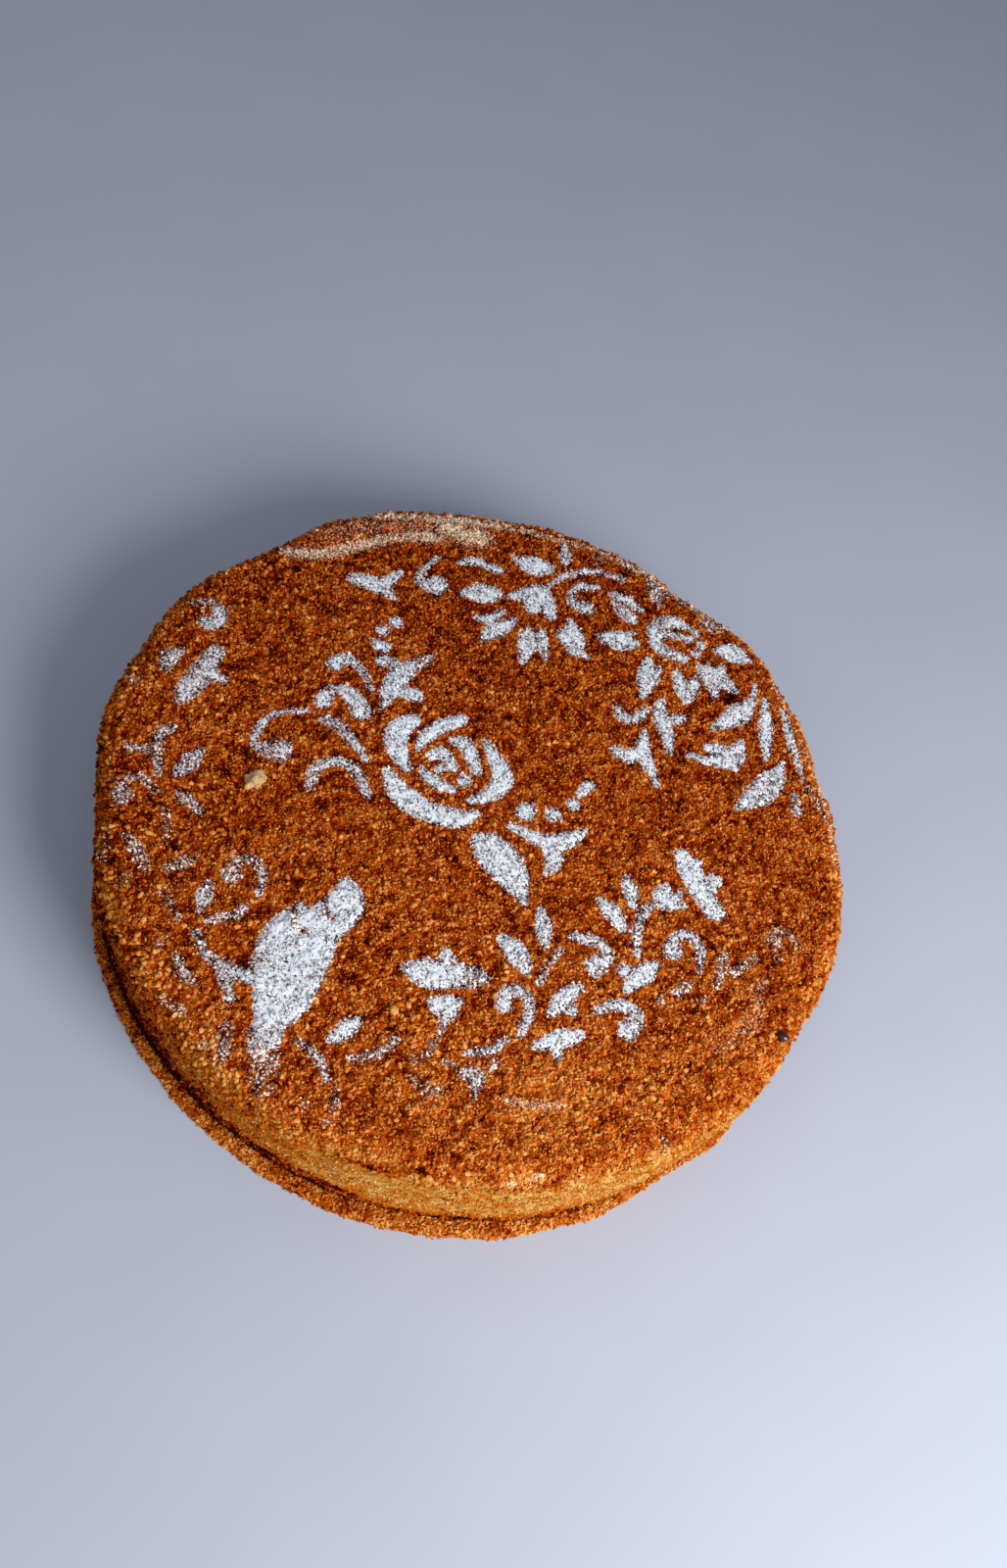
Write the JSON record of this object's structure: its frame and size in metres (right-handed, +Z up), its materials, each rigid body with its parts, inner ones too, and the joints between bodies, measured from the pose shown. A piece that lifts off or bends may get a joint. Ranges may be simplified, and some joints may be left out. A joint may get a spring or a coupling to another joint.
{
  "type": "medovik honey cake",
  "caption": "Whole round honey layer cake coated in biscuit crumbs, with a flower and bird pattern of icing sugar sifted over its flat top.",
  "frame": {"origin": "middle of the flat base, in the middle of the box round the whole part", "axes": "+Z up through the top, -Y towards the side that faces the viewer in the picture, +X to the viewer's right"},
  "size_m": [0.2782, 0.2786, 0.0504],
  "materials": {
    "crumb_coat": "rough honey biscuit crumbs, with icing sugar on top",
    "loose_crumbs": "rough, loose honey biscuit crumbs"
  },
  "bodies": {
    "root": {"cake": "crumb_coat", "foot_crumbs": "loose_crumbs"}
  },
  "joints": []
}
